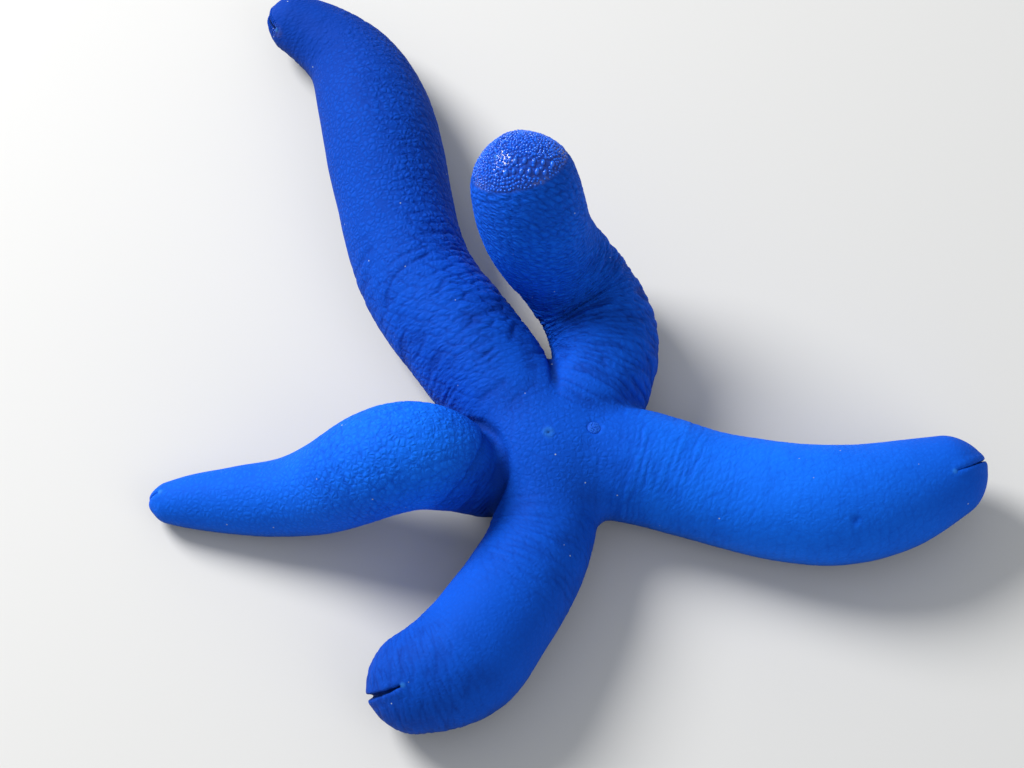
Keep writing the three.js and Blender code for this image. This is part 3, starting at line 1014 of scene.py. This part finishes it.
def lip_beads(skin, arm):
    """Rows of granules beside an arm's furrow, clear of the floor, and on over the beaded tip."""
    under, over = np.arange(2, arm.cap_start, LIP_PITCH), []
    if arm.letter == BEADED_TIP:
        cap = arm.cap_start + arm.cap * np.sin(np.arange(0, math.pi / 2, LIP_PITCH / arm.cap))
        under, over = np.append(under, cap), cap[cap > arm.length - arm.slit]
    distance, face = both_faces(under, over)
    middle, inward, side = arm.furrow_line(distance, face)
    half = np.where(face[:, 0] > 0, arm.gape, arm.furrow_size(distance)[0]) / 2
    starts = np.vstack([
        middle - 3 * inward + hand * side * (half + row)[:, None]
        for row in LIP_ROWS
        for hand in (-1, 1)
    ])
    hits = met(skin, starts, np.tile(inward, (4, 1)))
    clear = (hits[1][:, 2] > 0.8) & (lengths(hits[1] - starts[hits[0]]) < 6)
    index, places, normals, faces = (rows[clear] for rows in hits)
    sizes = LIP_BEAD_SIZE * (0.8 + 0.35 * dice.random((len(places), 1)))
    return places, standing(normals, np.tile(side, (4, 1))[index], sizes), faces


def granules(skin, marks, corner_of, material):
    """All granules, in one piece, marked as the skin is below each of them."""
    sets = [head_beads(skin)] + [lip_beads(skin, arm) for arm in arms.values()]
    places, axes, faces = (np.concatenate(column) for column in zip(*sets))
    shape = lathe(BEAD)
    below = {name: values[corner_of[faces]] for name, values in marks.items()}
    # The granules take none of the dark painted shade of the skin below them.
    below["dark"] *= 0
    below["tone"] = below["tone"] + 0.1 + 0.3 * below["wet"]
    spread = {name: np.repeat(values, len(shape[0]), axis=0) for name, values in below.items()}
    # Painted shade round the foot of each granule.
    spread["crease"] = np.tile(ease(shape[0][:, 2], 0.5, -0.1) * 0.5, len(places))
    piece("granules", *copies(shape, places, axes), spread, material)


def soft_piece(name, profile, length, origins, axes, material):
    """Copies of a round shape in one piece, marked with how far up it they lie."""
    shape = lathe(profile)
    reach = np.tile(np.clip(shape[0][:, 2] / length, 0, 1), len(origins))
    piece(name, *copies(shape, origins, axes), {"reach": reach}, material)


# The outline of a tube foot, up to its hollow sucker.
FOOT = [(0.46, 0), (0.34, 0.5), (0.31, 1.5), (0.4, 2), (0.52, 2.2), (0.5, 2.4), (0.25, 2.5)]
FOOT += [(0, 2.35)]
FOOT_LENGTH = 2.5
FOOT_START = 4.2  # how far out the first feet stand
FOOT_PITCH = 1.15
FOOT_ROW = 0.8  # from the middle of the widest furrow to a row
FOOT_LEAN = 0.12
NARROWEST = 1.5  # width of furrow below which there are no feet


def tube_feet():
    """Two rows of tube feet with suckers along each furrow, in one piece."""
    origins, axes = [], []
    for arm in arms.values():
        distance = np.arange(FOOT_START, arm.cap_start, FOOT_PITCH)
        distance = distance[arm.furrow_size(distance)[0] > NARROWEST]
        width, depth = arm.furrow_size(distance)
        skin, inward, side = arm.furrow_line(distance, -1)
        along = np.cross(inward, side)
        for hand in (-1, 1):
            size = width / FURROW_WIDTH * (0.9 + 0.2 * dice.random(len(distance)))
            length = (depth - 0.5) / FOOT_LENGTH * (0.9 + 0.1 * dice.random(len(distance)))
            lean = FOOT_LEAN * dice.normal(size=(2, len(distance), 1))
            outward = unit(-inward + lean[0] * side + lean[1] * along)
            across = FOOT_ROW * hand * (width / FURROW_WIDTH)[:, None]
            origins.append(skin + inward * (depth - 0.15)[:, None] + side * across)
            axes.append(standing(outward, side, np.stack([size, size, length], axis=1)))
    look = soft_material("sea_star_feet", PALE_BLUE, CREAM)
    soft_piece("tube_feet", FOOT, FOOT_LENGTH, np.vstack(origins), np.vstack(axes), look)


SPINE = [(0.34, -0.6), (0.34, 0.4), (0.28, 1), (0.14, 1.35), (0, 1.4)]
SPINE_REACH = 1  # the height from which it has the colour of its end
SPINE_TURNS = (-22, -11, 0, 11, 22)  # of the spines of a jaw about its middle, in degrees
SPINE_SLOPE = -0.15  # how far they lean down
SPINE_HEIGHT = 0.95  # of their roots above the floor


def mouth_spines():
    """Blunt spines on the five jaws, which point into the mouth."""
    starts = [arm.along[0] for arm in arms.values()]
    furrows = np.sort([math.degrees(math.atan2(y, x)) % 360 for x, y, _ in starts])
    jaws = (furrows + np.append(furrows[1:], furrows[0] + 360)) / 2
    turns = np.radians(jaws[:, None] + SPINE_TURNS).ravel()
    slope = np.full(len(turns), SPINE_SLOPE)
    outward = np.stack([-np.cos(turns), -np.sin(turns), slope], axis=1)
    origins = outward * (-MOUTH_SIZE[0], -MOUTH_SIZE[1], 0) + (0, 0, SPINE_HEIGHT)
    axes = standing(unit(outward), (0, 0, 1), np.ones((len(turns), 3)))
    look = soft_material("sea_star_spines", BLUE, PALE_BLUE)
    soft_piece("mouth_spines", SPINE, SPINE_REACH, origins, axes, look)


SIEVE_RINGS = 22
SIEVE_CORNERS = 72
SIEVE_DOME = 0.22  # how far the middle of the plate stands above its rim
SIEVE_GROOVE = 0.14


def sieve_plate(skin):
    """The madreporite: a low round plate with winding grooves, set in the skin."""
    share = np.append(np.linspace(0.02, 1, SIEVE_RINGS), 1.02)
    around = np.stack(circle(SIEVE_CORNERS), axis=1)
    flat = (share[:, None, None] * around * (SIEVE_RADIUS - 0.1)).reshape(-1, 2) + SIEVE_PLACE
    rim = flat[-SIEVE_CORNERS:] + around * 0.6
    _, places, _, _ = met(skin, np.column_stack([rim, np.full(SIEVE_CORNERS, 40)]), DOWN)
    level_places = np.column_stack([places[:, :2], np.ones(len(places))])
    slope = np.linalg.lstsq(level_places, places[:, 2], rcond=None)[0]
    level = flat @ slope[:2] + slope[2]
    inner = np.repeat(share, SIEVE_CORNERS)
    winding = np.abs(noise(np.column_stack([flat / 0.42, np.full(len(flat), 0.5)])))
    ridge = ease(winding, 0.02, 0.16) * ease(inner, 1, 0.9)
    height = SIEVE_DOME * (1 - inner**2) + SIEVE_GROOVE * (ridge - 1)
    height[-SIEVE_CORNERS:] = -0.8
    points = np.column_stack([flat, level + height])
    quads, _ = tube_faces(len(share), SIEVE_CORNERS)
    look, marks = sieve_material(), {"ridge": ridge}
    piece("madreporite_plate", points, quads, marks, look, "sieve_plate", ["madreporite"])


# ---- The room ----

CAMERA_AIM = (-7.98, 15.76, 12)  # from the middle of the disc
CAMERA_ELEVATION = 65
CAMERA_DISTANCE = 620
CAMERA_LENS = 103.8
FLOOR_SIZE = 3000
FLOOR_COLOUR = (0.72, 0.71, 0.69, 1)
ROOM_LIGHT = (0.9, 0.95, 1, 1)
ROOM_POWER = 0.4
# Name, place, size and power of each lamp.
LAMPS = [("key", (-0.68, 0.5, 0.66), 0.5, 14), ("fill", (0.8, -0.7, 0.8), 0.9, 2)]


def placed(name, data, place, aim):
    """A camera or lamp at a place, which looks at aim."""
    made = added(name, data)
    made.location = place
    made.rotation_euler = (aim - made.location).to_track_quat("-Z", "Y").to_euler()
    return made


def camera():
    data = bpy.data.cameras.new("camera")
    data.lens = CAMERA_LENS
    data.clip_start = 0.01
    turn = math.radians(CAMERA_ELEVATION)
    aim = in_frame(CAMERA_AIM)
    back = Vector((0, -math.cos(turn), math.sin(turn)))
    place = aim + back * CAMERA_DISTANCE * MM
    bpy.context.scene.camera = placed("camera", data, place, aim)


def room():
    corners = FLOOR_SIZE / 2 * np.array([[-1, -1, 0], [1, -1, 0], [1, 1, 0], [-1, 1, 0]])
    floor = added("floor", mesh_of("floor", corners, np.array([[0, 1, 2, 3]])))
    look = Shader("floor").finished({"Base Color": FLOOR_COLOUR, "Roughness": 0.8})
    floor.data.materials.append(look)
    world = bpy.data.worlds.new("room")
    bpy.context.scene.world = world
    world.use_nodes = True
    background = world.node_tree.nodes["Background"].inputs
    background["Color"].default_value = ROOM_LIGHT
    background["Strength"].default_value = ROOM_POWER
    for name, place, size, power in LAMPS:
        data = bpy.data.lights.new(name, "AREA")
        data.shape = "DISK"
        data.size = size
        data.energy = power
        placed(name, data, place, Vector((0, 0, 0.01)))
    bpy.context.scene.view_settings.view_transform = "Standard"


camera()
skin_look = skin_material()
skin, skin_marks, corner_of_face = skin_piece(skin_look)
bpy.context.view_layer.update()
granules(skin, skin_marks, corner_of_face, skin_look)
tube_feet()
mouth_spines()
sieve_plate(skin)
room()
